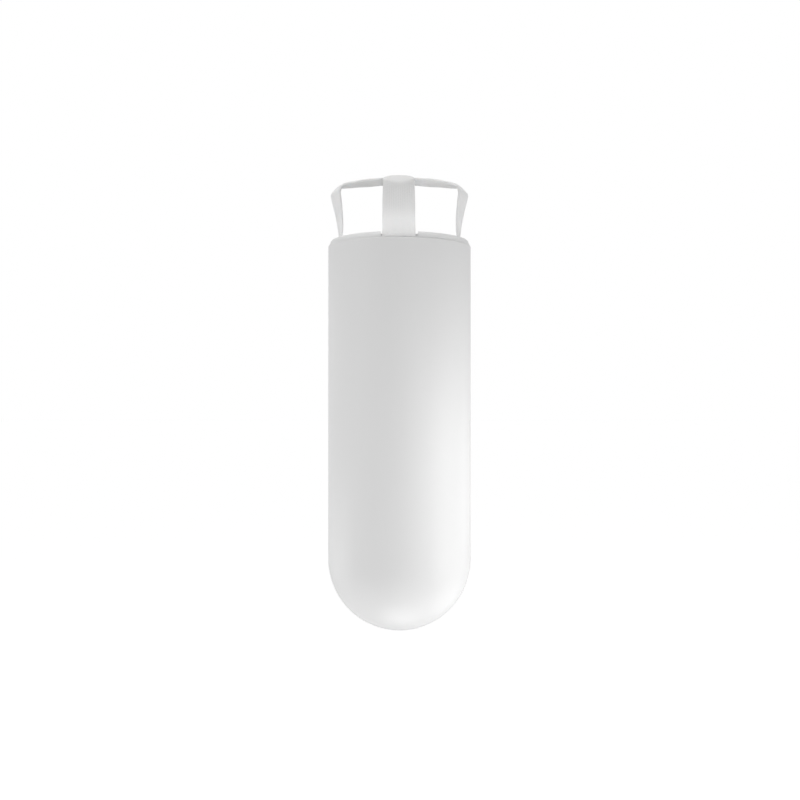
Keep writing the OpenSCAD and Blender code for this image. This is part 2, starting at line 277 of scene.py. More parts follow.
def webbing(name, seed, upper_shade, painted_foot_light):
    """Woven tape on UVs in millimetres: V-shaped twill columns of yarn with grooves between.

    The third argument sets the painted shade that makes the upper loop darker, and the fourth the
    painted light that its foot gives off as emission.
    """
    column_pitch, knot_pitch = 0.86, 1.05
    mat = Material(name)
    along, across, _ = mat.xyz("UV")
    wobble = mat.noise(scale=0.35, detail=2, vector=mat.coords["UV"], seed=seed).swing(by=0.5)
    column, in_column = across.cells(column_pitch)
    # the twill turns over every four columns
    flip = (across / (column_pitch * 4)).floor().mod(2.0) * 2.0 - 1.0
    phase = (along / knot_pitch + column * flip * 0.25 + wobble * 0.12).frac() - 0.5
    yarn_across = in_column.crown(2.0)
    yarn_along = phase.crown(2.0)
    knot = yarn_across.max(0.0) ** 0.5 * (yarn_along * 0.75 + 0.25).max(0.0)
    fibre_lines = mat.combine(along * 1.3, across * 11.0, column * 3.1)
    fibre = mat.noise(detail=2, rough=0.6, vector=fibre_lines, seed=seed + 1)
    broad = mat.noise(scale=0.06, detail=4, rough=0.6, vector=mat.coords["UV"], seed=seed + 2)
    edge = across.abs().smooth(STRAP_W / 2 - 1.5, STRAP_W / 2)
    # painted shade: the upper loop is greyer, varied by broad noise, standing in for the shade
    # that falls on it
    upper_shade_mask = mat.xyz()[2].smooth((RIM + 6) * MILLI, (RIM + 44) * MILLI)
    painted_upper_shade = upper_shade_mask * (broad * 0.06 + upper_shade)
    # painted light: the foot glows by emission where the loop leaves the lid, standing in for
    # light falling there
    z = mat.xyz()[2]
    painted_foot_light_start = z.smooth((RIM - 8) * MILLI, (RIM + 2) * MILLI)
    foot = painted_foot_light_start * (1.0 - z.smooth((RIM + 3) * MILLI, (RIM + 26) * MILLI))
    mat.tree.links.new((foot * painted_foot_light).socket, mat.inputs["Emission Strength"])
    weave = knot.swing(by=0.06, middle=0.6) + fibre.swing(by=0.05) + broad.swing(by=0.03)
    # the subtracted upper-loop term is painted shade
    mat.grey(weave - edge * 0.02 - painted_upper_shade + 0.94, blue=0.998)
    mat.rough(fibre.swing(by=0.2) + 0.62)
    mat.bump(knot * 1.0 + fibre * 0.12, distance=0.00016, strength=0.75)
    mat.set(Sheen_Weight=0.25, Sheen_Roughness=0.5, Specular_IOR_Level=0.35,
            Subsurface_Weight=0.65, Subsurface_Radius=(1.0, 0.97, 0.94), Subsurface_Scale=0.0022)
    return mat.material


def cloth(name, seed, tone=0.82, pitch=0.62, blue=0.975):
    """Glass-fibre cloth on UVs in millimetres: flat bundles in a 2/2 twill, slightly glossy."""
    mat = Material(name)
    along, across, _ = mat.xyz("UV")
    cell_along, in_along = along.cells(pitch)
    cell_across, in_across = across.cells(pitch)
    over = (cell_along + cell_across).mod(4.0).above(1.5)

    def weave(upper, lower):
        return over * upper + (1.0 - over) * lower

    height = weave(in_across.crown(4.0).max(0.0), in_along.crown(4.0).max(0.0))
    # filaments are eleven times finer across a bundle than along it
    coarse, fine = 2.0, 22.0
    lengthwise = mat.combine(along * coarse, across * fine, 0.0)
    crosswise = mat.combine(along * fine, across * coarse, 0.0)
    filament = weave(mat.noise(detail=1, vector=lengthwise, seed=seed),
                     mat.noise(detail=1, vector=crosswise, seed=seed + 1))
    broad = mat.noise(scale=0.045, detail=4, rough=0.6, vector=mat.coords["UV"], seed=seed + 2)
    mat.grey(height.swing(by=0.07, middle=0.7) + filament.swing(by=0.05)
             + over.swing(by=0.018) + broad.swing(by=0.05) + tone, blue)
    mat.rough(filament.swing(by=0.25) + 0.5)
    mat.bump(height + filament * 0.15, distance=0.0001, strength=0.7)
    mat.set(Sheen_Weight=0.15, Specular_IOR_Level=0.5)
    return mat.material


def thread(name):
    """Twisted sewing thread on each stitch's own UVs."""
    mat = Material(name)
    along, around, _ = mat.xyz("UV")
    ply = (along * 7.0 + around * 6.2832).sin() * 0.5 + 0.5
    fibre = mat.noise(scale=3500, detail=2, rough=0.6, seed=2.0)
    mat.grey(ply.swing(by=0.10) + fibre.swing(by=0.06) + 0.72, blue=0.985)
    mat.rough(fibre.swing(by=0.2) + 0.55)
    mat.bump(ply, distance=0.00008, strength=0.8)
    mat.set(Sheen_Weight=0.2)
    return mat.material


def foam(name):
    """Dark open foam with pores of two sizes."""
    mat = Material(name)
    large = mat.voronoi(scale=900)
    small = mat.voronoi(scale=2100)
    broad = mat.noise(scale=45, detail=4, rough=0.6, seed=3.0)
    pore = (large * 1.0).smooth(0.05, 0.5)
    mat.grey(pore * 0.14 + small * 0.05 + broad.swing(by=0.06) + 0.30, blue=1.02)
    mat.rough(pore * 0.1 + 0.82)
    mat.bump(pore + small * 0.4, distance=0.0005, strength=0.8)
    return mat.material


CASE_PLASTIC = plastic("case_plastic", tone=0.79, rough=0.40, grain_scale=1500, seed=1.0)
COLLAR_PLASTIC = plastic("collar_plastic", tone=0.80, rough=0.38, grain_scale=1700, seed=4.0)
LID_PLASTIC = plastic("lid_plastic", tone=0.76, rough=0.46, grain_scale=1100, seed=7.0)
PLATE_PLASTIC = plastic("plate_plastic", tone=0.72, rough=0.48, grain_scale=900, seed=11.0)
STEEL = metal("zinc_steel", tone=0.62, rough=0.34, seed=2.0)
SPRING_STEEL = metal("spring_steel", tone=0.50, rough=0.28, seed=5.0)
RUBBER = rubber("seal_rubber")
# the two webbing copies differ in seed, in the painted shade on the upper loop and in the painted
# light glowing at the foot
SIDE_WEBBING = webbing("webbing_side", seed=1.0, upper_shade=0.05, painted_foot_light=0.04)
FRONT_WEBBING = webbing("webbing_front", seed=2.0, upper_shade=0.13, painted_foot_light=0.16)
GLASS_CLOTH = cloth("glass_cloth", seed=2.0)
PATCH_CLOTH = cloth("patch_cloth", seed=6.0, tone=0.84, pitch=0.8)
BINDING_TAPE = cloth("binding_tape", seed=9.0, tone=0.86, pitch=0.5, blue=0.99)
THREAD = thread("sewing_thread")
FOAM = foam("cushion_foam")

for piece, material in {
    "case_shell": CASE_PLASTIC, "collar_ring": COLLAR_PLASTIC, "top_lid": LID_PLASTIC,
    "lid_seal": RUBBER, "wall_plate": PLATE_PLASTIC, "rear_saddle": PLATE_PLASTIC,
    "saddle_screws": STEEL, "saddle_washers": STEEL, "latch_spring": SPRING_STEEL,
    "spring_rivet": STEEL,
}.items():
    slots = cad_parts[piece].data.materials
    slots.clear()
    slots.append(material)


# ---------------------------------------------------------------- mesh helpers
# A shape is (points in millimetres, faces, one UV pair in millimetres per point).
def add_piece(name, node, material, shape, carrier="pack"):
    """Make a smooth mesh with its faces outward, in place of a CAD node."""
    points, faces, uvs = shape
    centred = points - points.mean(0)
    volume = 0.0
    for size in {len(face) for face in faces}:
        corners = centred[np.array([face for face in faces if len(face) == size], int)]
        for i in range(1, size - 1):
            normals = np.cross(corners[:, i], corners[:, i + 1])
            volume += float(np.einsum("ij,ij->", corners[:, 0], normals))
    if volume < 0:
        faces = [face[::-1] for face in faces]
    mesh = bpy.data.meshes.new(name)
    mesh.from_pydata((points * MILLI).tolist(), [], faces)
    mesh.update()
    layer = mesh.uv_layers.new(name="UVMap")
    loops = np.zeros(len(mesh.loops), np.int32)
    mesh.loops.foreach_get("vertex_index", loops)
    layer.data.foreach_set("uv", np.asarray(uvs, np.float32)[loops].ravel())
    mesh.polygons.foreach_set("use_smooth", np.ones(len(mesh.polygons), bool))
    obj = bpy.data.objects.new(name, mesh)
    bpy.context.scene.collection.objects.link(obj)
    mesh.materials.append(material)
    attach(obj, carrier)
    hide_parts(node)


def grid_faces(rows, cols, close_rows=False, close_cols=False):
    i = np.arange(rows if close_rows else rows - 1)[:, None]
    j = np.arange(cols if close_cols else cols - 1)[None, :]
    next_i = (i + 1) % rows
    next_j = (j + 1) % cols
    quads = [i * cols + j, next_i * cols + j, next_i * cols + next_j, i * cols + next_j]
    return [tuple(quad) for quad in np.stack(quads, -1).reshape(-1, 4).tolist()]


def join(parts):
    """One shape from several."""
    faces, base = [], 0
    for points, part_faces, _ in parts:
        faces += [tuple(k + base for k in face) for face in part_faces]
        base += len(points)
    return (np.concatenate([part[0] for part in parts]), faces,
            np.concatenate([part[2] for part in parts]))


def around_axis(radius, angle, height):
    """Points from cylindrical coordinates about the case's axis."""
    return np.stack([AXIS[0] + radius * np.cos(angle), AXIS[1] + radius * np.sin(angle),
                     height], -1).reshape(-1, 3)


def ease(x, start, end):
    x = np.clip((np.asarray(x, float) - start) / (end - start), 0, 1)
    return x * x * (3 - 2 * x)


def waves(x, y, seed, scale):
    """Smooth low noise from seven sines, the same each run."""
    draws = np.random.default_rng(seed)
    total = 0.0
    for _ in range(7):
        x_rate, y_rate, phase = draws.uniform(-1, 1), draws.uniform(-1, 1), draws.uniform(0, 6.28)
        total = total + np.sin((x_rate * x + y_rate * y) * scale + phase)
    return total / 7


def unit(vector):
    vector = np.asarray(vector, float)
    return vector / np.maximum(np.linalg.norm(vector, axis=-1, keepdims=True), 1e-12)


# ---------------------------------------------------------------- pull straps
STRAP_STEP = 0.75      # between sections along the tape
RIBS = 14
FACE_COLS = 84         # points across each face
EDGE_COLS = 6          # points round each edge
EDGE_R = 0.75
MIRROR = np.array([-1, 1])


def rounded(before, corner, after, lead_in, lead_out, steps):
    """A quadratic curve round a corner, from lead_in before it to lead_out after it."""
    start = corner + lead_in * unit(before - corner)
    end = corner + lead_out * unit(after - corner)
    t = np.linspace(0, 1, steps + 1)[:, None]
    return (1 - t) ** 2 * start + 2 * t * (1 - t) * corner + t * t * end


def arc_length(path):
    return np.concatenate([[0], np.cumsum(np.linalg.norm(np.diff(path, axis=0), axis=1))])


def even_steps(length):
    return np.linspace(0, length, int(length / STRAP_STEP))


def resample(places, knots, points):
    return np.stack([np.interp(places, knots, points[:, i]) for i in (0, 1)], 1)


def relax(line, rounds):
    for _ in range(rounds):
        line[1:-1] = 0.25 * line[:-2] + 0.5 * line[1:-1] + 0.25 * line[2:]
    return line


class Strap:
    """A webbing loop standing in the upright plane through the axis at the given direction.

    Places on it are (along, across). along runs on the middle of the outer face, from the end of
    the leg on the direction's side to the end of the other leg. Lines hold (radius, height above
    the rim) at each step. With part from -1 to 1 across, the face lies at
    middle + bow * part^2 + curl * |part|^5 + tilt * part.
    """

    def __init__(self, direction, shift, seed, lines):
        self.outward = np.array([math.cos(direction), math.sin(direction), 0.0])
        self.sideways = np.array([-self.outward[1], self.outward[0], 0.0])
        self.base = np.array([AXIS[0], AXIS[1], RIM]) + self.sideways * shift
        self.seed = seed
        self.steps, self.middle, self.bow, self.curl, self.tilt = lines
        self.length = self.steps[-1]
        # how free the tape is to ripple: not near the lid, nor at the crossing
        radius, height = np.abs(self.middle[:, 0]), self.middle[:, 1]
        held = (1 - ease(radius, FLAT_R, FLAT_R + 9)) * (height > CORNER_H)
        self.free = ease(height, 8, 20) * (1 - held)

    def surface(self, along, across):
        """Points on the outer face, without weave."""
        def here(values):
            return np.interp(along, self.steps, values)

        def size(line):
            return np.hypot(here(line[:, 0]), here(line[:, 1]))

        part = 2 * across / STRAP_W
        free = here(self.free)
        radius, height = (
            here(self.middle[:, i]) + here(self.bow[:, i]) * (part * part)
            + here(self.curl[:, i]) * np.abs(part) ** 5 + here(self.tilt[:, i]) * part
            for i in (0, 1))
        # a bent section spans less from edge to edge
        bent = size(self.bow) + 0.6 * size(self.curl)
        narrowing = (0.35 * bent ** 2 + 0.4 * size(self.tilt) ** 2) / (STRAP_W / 2) ** 2
        width_drift = 0.006 * waves(along, 0 * across, self.seed + 2, 0.12) * free
        offset = across * (1 - narrowing) * (1 + width_drift)
        ripple = free * (0.16 * waves(along, across, self.seed, 0.09)
                         + 0.09 * waves(along, across, self.seed + 1, 0.33) * part)
        rocking = free * 0.15 * waves(along, 0 * across, self.seed + 3, 0.045) * part
        height = height + ripple + rocking
        radius = radius + ripple * np.sign(radius)
        return (self.base + self.outward * radius[..., None]
                + self.sideways * offset[..., None] + UP * height[..., None])

    def at(self, along, across, depth):
        """Points at a depth under the outer face, and the normals there."""
        along, across = np.broadcast_arrays(np.asarray(along, float), np.asarray(across, float))
        before, after = (np.clip(along + step, 0, self.length) for step in (-0.5, 0.5))
        left, right = (np.clip(across + step, -STRAP_W / 2, STRAP_W / 2) for step in (-0.25, 0.25))
        lengthwise = unit(self.surface(after, across) - self.surface(before, across))
        crosswise = unit(self.surface(along, right) - self.surface(along, left))
        normal = unit(np.cross(crosswise, lengthwise))
        depth = np.asarray(depth, float)[..., None]
        return self.surface(along, across) - normal * depth, normal

    def build(self, name, node, material):
        # closed section: outer face, edge, inner face, edge
        flat = STRAP_W / 2 - EDGE_R
        face = np.linspace(-flat, flat, FACE_COLS)
        angle = np.linspace(math.pi / 2, -math.pi / 2, EDGE_COLS + 2)[1:-1]
        edge = flat + EDGE_R * np.cos(angle)
        edge_depth = STRAP_T / 2 - STRAP_T / 2 * np.sin(angle)
        ones = np.ones(FACE_COLS)
        section = np.concatenate([face, edge, face[::-1], -edge[::-1]])
        depth = np.concatenate([0 * ones, edge_depth, STRAP_T * ones, edge_depth[::-1]])
        side = np.concatenate([ones, np.sin(angle), -ones, np.sin(angle[::-1])])
        along, across = np.meshgrid(self.steps, section, indexing="ij")
        # ribs along the tape, with ticks staggered from rib to rib
        rib = across * RIBS / (2 * flat)
        ticks = np.cos(2 * math.pi * (along / 1.9 + 0.5 * np.floor(rib + 0.5)))
        relief = (0.045 * np.cos(2 * math.pi * rib) + 0.02 * ticks) * (np.abs(across) < flat)
        selvedge = 0.07 * np.exp(-((np.abs(across) - (STRAP_W / 2 - 1.1)) / 0.7) ** 2)
        points, _ = self.at(along, across, depth - side * (relief + selvedge) + 0.05)
        rows, cols = along.shape
        faces = grid_faces(rows, cols, close_cols=True)
        # close the two cut ends with strips from outer face to inner face
        last = 2 * FACE_COLS + EDGE_COLS - 1
        strips = [(k, k + 1, last - k - 1, last - k) for k in range(FACE_COLS - 1)]
        strips.append(tuple(range(FACE_COLS - 1, FACE_COLS + EDGE_COLS + 1)))
        strips.append((*range(last, cols), 0))
        for row, order in ((0, -1), (rows - 1, 1)):
            faces += [tuple(row * cols + k for k in strip[::order]) for strip in strips]
        uvs = np.stack([along, across], -1).reshape(-1, 2)
        add_piece(name, node, material, (points.reshape(-1, 3), faces, uvs))


def even(radius, height, inset):
    """A station with both edges equally far inside its middle."""
    return [(radius - inset, height), (radius, height), (radius - inset, height)]


# side strap's right half, from the leg's end to the crown:
# (radius, height above the rim) of the front edge, the middle and the back edge
SIDE_STATIONS = [
    even(LEG_R, -LEG_DOWN, 1.67),
    even(LEG_R, -14, 1.67),
    even(LEG_R, -7, 0.45),
    even(LEG_R, 1, 0.45),
    [(46.2, 5.5), (47.4, 5.7), (47.8, 6)],
    [(45.0, 11.2), (48.0, 11.6), (48.7, 12)],
    [(44.9, 17.6), (48.8, 18), (49.2, 18.5)],
    [(45.0, 24.0), (50.0, 25), (50.6, 26)],
    [(45.6, 34.0), (52.4, 35.2), (52.8, 36.5)],
    [(46.5, 41.5), (54.1, 41.8), (53.6, 43.0)],
    [(45.4, 46.8), (47.6, 48.6), (48.2, 50.0)],
    [(42.0, 48.4), (42.2, 49.8), (42.0, 50.0)],
    [(36.8, 49.4), (36.8, 50.6), (36.8, 50.4)],
    [(30.6, 50.6), (30.6, 51.3), (30.6, 50.9)],
    [(24.4, 51.6), (24.4, 52.0), (24.4, 51.0)],
    [(18.4, 51.8), (18.4, SIDE_TOP), (18.4, 51.7)],
    [(FLAT_R + 0.4, SIDE_TOP - 0.05), (FLAT_R + 0.4, SIDE_TOP), (FLAT_R + 0.4, SIDE_TOP - 0.05)],
    [(0, SIDE_TOP - 0.02), (0, SIDE_TOP), (0, SIDE_TOP - 0.02)],
]


def side_lines():
    """The twisted loop through the side stations."""
    half = np.array(SIDE_STATIONS, float)
    stations = np.concatenate([half, half[:-1][::-1] * MIRROR])
    knots = arc_length(stations[:, 1])
    steps = even_steps(knots[-1])
    near, middle, far = (relax(resample(steps, knots, stations[:, i]), 8) for i in range(3))
    return steps, middle, (near + far) / 2 - middle, 0 * middle, (far - near) / 2


BAR_DROP = 5.0                        # fall of the top bar from the crossing to the legs
BAR_POWER = 3.3                       # how late the fall comes
FACET_R = LEG_R + 0.6                 # where the sloping corner meets the bar
LEG_BOW = (1.3, 1.9, 2.6)             # bow of the leg, going up
BAR_BOW = 0.8
EDGE_DROP = 1.9                       # extra drop of the bar's edges
EDGE_CORNER = (CORNER_R - 3.0, 43.6)  # where the edges turn the corner


def front_lines():
    """The even loop of leg, sloping corner and top bar, bowed across."""
    def bar(radius):
        past_flat = np.maximum(0, radius - FLAT_R)
        return FRONT_TOP - BAR_DROP * (past_flat / (LEG_R - 0.3 - FLAT_R)) ** BAR_POWER

    foot = np.array([LEG_R, -LEG_DOWN])
    bend = np.array([LEG_R, -1.0])
    corner = np.array([CORNER_R, CORNER_H])
    facet = np.array([FACET_R, bar(FACET_R)])
    inward = np.array([FACET_R - 8, bar(FACET_R - 8)])
    radii = np.linspace(FACET_R - 3, FLAT_R, 30)
    half = np.concatenate([
        [foot],
        rounded(foot, bend, corner, lead_in=7, lead_out=7, steps=12),
        rounded(bend, corner, facet, lead_in=2.2, lead_out=2.2, steps=10),
        rounded(corner, facet, inward, lead_in=1.6, lead_out=1.8, steps=8),
        np.stack([radii, bar(radii)], 1),
    ])
    path = np.concatenate([half, half[::-1] * MIRROR])
    knots = arc_length(path)
    length = knots[-1]
    steps = even_steps(length)
    middle = relax(resample(steps, knots, path), 3)

    # stations by arc length on one half
    at_rim = LEG_DOWN
    at_corner, at_facet = (knots[int(np.argmin(np.linalg.norm(half - point, axis=1)))]
                           for point in (corner, facet))

    def at_radius(radius):
        return at_facet + (FACET_R - radius) * 1.04

    rise = unit(corner - bend)
    inner = np.array([-rise[1], rise[0]])
    bows = [  # arc length, (radius, height) from the middle to the edges
        (0, (-1.67, 0)),
        (at_rim - 14, (-1.67, 0)),
        (at_rim - 7, (-0.45, 0)),
        (at_rim + 6, (-0.45, 0)),
        (at_rim + 13, inner * LEG_BOW[0]),
        (at_rim + 26, inner * LEG_BOW[1]),
        (at_corner - 3.2, inner * LEG_BOW[2]),
        (at_corner, np.array(EDGE_CORNER) - corner),
        (at_facet, np.array(EDGE_CORNER) + (-0.5, 0.75) - facet),
        (at_facet + 3.5, (0, -0.75 * BAR_BOW)),
        (at_radius(38), (0, -BAR_BOW)),
        (at_radius(23), (0, -BAR_BOW)),
        (at_radius(FLAT_R + 1.5), (0, -0.08)),
        (length / 2, (0, -0.02)),
    ]
    drops = [  # arc length, extra drop at the very edges
        (0, 0),
        (at_corner - 12, 0),
        (at_corner - 1, EDGE_DROP * 0.75),
        (at_facet, EDGE_DROP),
        (at_radius(30), EDGE_DROP * 0.9),
        (at_radius(FLAT_R + 2), 0),
        (length / 2, 0),
    ]
    from_end = np.minimum(steps, length - steps)
    sign = np.where(steps > length / 2, -1.0, 1.0)
    both_halves = np.stack([sign, np.ones_like(sign)], 1)
    bow_places = np.array([place for place, _ in bows], float)
    bow_offsets = np.array([offset for _, offset in bows], float)
    drop_places, drop_sizes = np.array(drops, float).T
    bow = resample(from_end, bow_places, bow_offsets) * both_halves
    drop = np.interp(from_end, drop_places, drop_sizes)[:, None]
    curl = drop * both_halves * (-0.3, -1.0)
    return steps, middle, relax(bow, 4), relax(curl, 4), 0 * middle


side_strap = Strap(direction=0.0, shift=0.3, seed=21, lines=side_lines())
front_strap = Strap(direction=-math.pi / 2, shift=-0.5, seed=43, lines=front_lines())
side_strap.build("pull_strap_side_webbing", "pull_strap_side", SIDE_WEBBING)
front_strap.build("pull_strap_front_webbing", "pull_strap_front", FRONT_WEBBING)


# ---------------------------------------------------------------- sewing thread
def stitch(middle, span, normal, width, height):
    """A slightly humped capsule, as long as its span."""
    rings, segments = 7, 8
    length = np.linalg.norm(span)
    heading, normal = unit(span), unit(normal)
    normal = unit(normal - heading * np.dot(normal, heading))
    sideways = np.cross(heading, normal)
    reach = -np.cos(np.linspace(0, math.pi, rings))[:, None]
    girth = np.maximum(np.sqrt(np.maximum(0, 1 - np.abs(reach) ** 2.6)), 0.02)
    turn = 2 * math.pi * np.arange(segments) / segments
    out = np.cos(turn) * girth * width / 2
    lift = np.sin(turn) * girth * height / 2 + 0.25 * (1 - reach * reach) * height
    ahead = reach * length / 2
    points = (middle + heading * ahead[..., None] + sideways * out[..., None]
              + normal * lift[..., None])
    uvs = np.stack(np.broadcast_arrays(ahead, np.arange(segments) / segments), -1)
    faces = [face[::-1] for face in grid_faces(rings, segments, close_cols=True)]
    faces.append(tuple(range(segments)))
    faces.append(tuple(range((rings - 1) * segments, rings * segments))[::-1])
    return points.reshape(-1, 3), faces, uvs.reshape(-1, 2)


def seam(surface, start, end, pitch=3.1, length=2.5, width=0.62, height=0.42):
    """Stitches on a straight line between two places in the surface's own coordinates."""
    start, end = np.array(start, float), np.array(end, float)
    count = max(1, int(round(np.linalg.norm(end - start) / pitch)))
    stitches = []
    for k in range(count):
        (tail, tail_normal), (head, head_normal) = (
            surface(*(start + (end - start) * ((k + 0.5 + half * length / pitch) / count)))
            for half in (-0.5, 0.5))
        jitter = rng.uniform(-0.04, 0.04, 3)
        stitches.append(stitch((tail + head) / 2 + jitter, head - tail,
                               tail_normal + head_normal, width, height))
    return stitches


def box_cross(surface, start, end, half_width, **sizes):
    """A sewn box with both diagonals."""
    corners = [(start, -half_width), (end, -half_width), (end, half_width), (start, half_width)]
    stitches = []
    for i, j in ((0, 1), (1, 2), (2, 3), (3, 0), (0, 2), (3, 1)):
        stitches += seam(surface, corners[i], corners[j], **sizes)
    return stitches


def strap_face(strap, inner=False):
    """The strap's outer or inner face, raised by the thread's lift."""
    lift = 0.02

    def surface(along, across):
        point, normal = strap.at(along, across, STRAP_T + lift if inner else -lift)
        return point, (-normal if inner else normal)
    return surface


def cylinder_face(radius, azimuth):
    """A cylinder about the axis; places are (height, arc length from the azimuth)."""
    def surface(height, arc):
        angle = azimuth + arc / radius
        normal = np.array([math.cos(angle), math.sin(angle), 0.0])
        return AXIS + normal * radius + UP * height, normal
    return surface


def sew(name, node, stitches):
    add_piece(name, node, THREAD, join(stitches))


def anchor_stitches():
    """Boxes and end rows on the strap legs, and lines round the patches."""
    stitches = []
    for strap in (side_strap, front_strap):
        face = strap_face(strap)
        for start, end_row in ((4.0, 1.6), (strap.length - 28.0, strap.length - 1.6)):
            stitches += box_cross(face, start, start + 24, 9)
            stitches += seam(face, (end_row, -10.5), (end_row, 10.5),
                             pitch=1.5, length=1.15, width=0.5, height=0.4)
    low, high = PATCH_BOTTOM + 2.5, PATCH_TOP - 2.5
    patch_lines = [
        ((low, -14.2), (high, -14.2)),
        ((low, 14.2), (high, 14.2)),
        ((low, -13.0), (low, 13.0)),
        ((high, -14.0), (high, -13.0)),
        ((high, 14.0), (high, 13.0)),
    ]
    for k in range(4):
        face = cylinder_face(PATCH_R - 0.05, k * math.pi / 2)
        for start, end in patch_lines:
            stitches += seam(face, start, end, pitch=2.7, length=2.0, width=0.5, height=0.35)
    return stitches


def crossing_stitches():
    """A box on the outer face of the side strap and one on the inner face of the front strap."""
    stitches = []
    for strap, inner in ((side_strap, False), (front_strap, True)):
        crown = strap.length / 2
        stitches += box_cross(strap_face(strap, inner), crown - 8.3, crown + 8.3, 8.3,
                              pitch=2.8, length=2.2)
    return stitches


sew("anchor_stitching_thread", "anchor_stitching", anchor_stitches())
sew("crossing_stitch_thread", "crossing_stitch", crossing_stitches())


# ---------------------------------------------------------------- rolled blanket
def build_roll():
    """The folded blanket as one thick sheet wound in a spiral, with soft uneven ends."""
    pitch, steps_per_turn = 3.75, 72
    outer_r, core_r = ROLL_R - 0.35, 3.2
    thick = pitch * 0.93
    end_angle = math.radians(45 - 8.5)
    low, high = ROLL_BOTTOM + 1.2, ROLL_TOP - 1.2
    turns = (outer_r - core_r) / pitch
    rows = int(turns * steps_per_turn)
    wound = np.linspace(0, turns * 2 * math.pi, rows)
    to_go = wound[-1] - wound
    spiral_r = outer_r - pitch * to_go / (2 * math.pi)

    # section: outer face up, rounded top, inner face down, rounded bottom;
    # layer is 0.5 on the outer face and -0.5 on the inner face
    cap = np.linspace(math.pi / 2, -math.pi / 2, 9)[1:-1]
    outer_z = low + thick / 2 + (high - low - thick) * np.linspace(0, 1, 34)
    inner_z = outer_z[::-4]
    section_z = np.concatenate([
        outer_z, high - thick / 2 + thick / 2 * np.cos(cap),
        inner_z, low + thick / 2 - thick / 2 * np.cos(cap)])
    section_layer = np.concatenate([
        np.full(len(outer_z), 0.5), 0.5 * np.sin(cap),
        np.full(len(inner_z), -0.5), -0.5 * np.sin(cap)])
    cols = len(section_z)
    turn, z = np.meshgrid(wound, section_z, indexing="ij")
    layer = np.broadcast_to(section_layer, turn.shape)
    angle = np.broadcast_to((end_angle - to_go)[:, None], turn.shape)
    radius = spiral_r[:, None] - thick / 2 + layer * thick

    # each turn ends at its own height, and the ends are soft
    at_end = ease(z, high - 14, high) - ease(-z, -low - 14, -low)
    drift = 0.9 * waves(turn * 6, 0 * turn, 5, 0.35) + 0.35 * waves(turn * 20, 0 * turn, 6, 0.6)
    fold = 0.30 * np.cos(layer * 2 * math.pi * 3.0) * (np.abs(at_end) > 0.95)
    height = z + at_end * (drift - 0.9) + fold * np.sign(at_end)

    # the outermost turn is dented all round and pressed in under the four patches
    outermost = ease(turn, wound[-1] - 6.4, wound[-1] - 5.6)
    dent = outermost * (layer > 0) * (0.16 * waves(angle * 40, z, 8, 0.05)
                                      + 0.10 * waves(angle * 44, z, 9, 0.14))
    press = np.zeros_like(dent)
    for k in range(4):
        away = (angle - k * math.pi / 2 + math.pi) % (2 * math.pi) - math.pi
        press += (ease(-np.abs(away) * 44, -19, -14)
                  * ease(z, PATCH_BOTTOM - 6, PATCH_BOTTOM) * 0.12)
    radius = radius + dent - 0.1 - press * outermost
    # the outer end thins against the turn below
    fade = ease(turn, wound[-1] - 0.06, wound[-1])
    radius = radius - fade * np.maximum(layer, 0) * thick * 0.35

    arc = np.concatenate([[0], np.cumsum(np.diff(wound) * spiral_r[1:])])
    uvs = np.stack([np.broadcast_to(arc[:, None], turn.shape), z + layer * thick], -1)
    faces = [face[::-1] for face in grid_faces(rows, cols, close_cols=True)]
    faces.append(tuple(range(cols))[::-1])
    faces.append(tuple(range((rows - 1) * cols, rows * cols)))
    add_piece("blanket_roll_cloth", "blanket_roll", GLASS_CLOTH,
              (around_axis(radius, angle, height), faces, uvs.reshape(-1, 2)))


build_roll()


